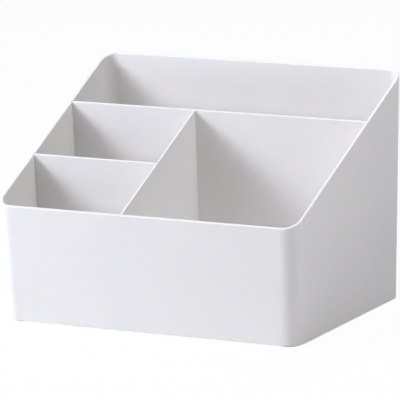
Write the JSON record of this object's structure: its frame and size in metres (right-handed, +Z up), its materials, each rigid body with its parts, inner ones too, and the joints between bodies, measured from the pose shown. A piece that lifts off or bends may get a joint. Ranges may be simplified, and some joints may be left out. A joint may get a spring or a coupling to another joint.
{
  "type": "desktop storage box",
  "caption": "Slant-topped desk storage box in white moulded plastic: low front, tall back, rounded corners, open bays for pens and small things, and lift-out dividers.",
  "frame": {"origin": "middle of the overall footprint, on the surface that the box stands on", "axes": "+X to the right along the width, +Y from the low front wall to the tall rear wall, +Z up"},
  "size_m": [0.2496, 0.175, 0.1695],
  "materials": {
    "white_plastic": "white moulded polypropylene, fine satin",
    "foot_rubber": "pale grey silicone rubber, matte"
  },
  "bodies": {
    "shell": {"box_shell": "white_plastic", "front_left_foot": "foot_rubber", "front_right_foot": "foot_rubber", "rear_left_foot": "foot_rubber", "rear_right_foot": "foot_rubber"},
    "rear_divider": {"rear_divider": "white_plastic"},
    "lengthwise_divider": {"lengthwise_divider": "white_plastic"},
    "short_divider": {"short_divider": "white_plastic"}
  },
  "joints": [
    {"name": "rear_divider_lift", "type": "slide", "parent": "shell", "child": "rear_divider", "axis": [0, 0, 1], "range_m": [0, 0.14]},
    {"name": "lengthwise_divider_lift", "type": "slide", "parent": "shell", "child": "lengthwise_divider", "axis": [0, 0, 1], "range_m": [0, 0.14]},
    {"name": "short_divider_lift", "type": "slide", "parent": "shell", "child": "short_divider", "axis": [0, 0, 1], "range_m": [0, 0.112]}
  ]
}
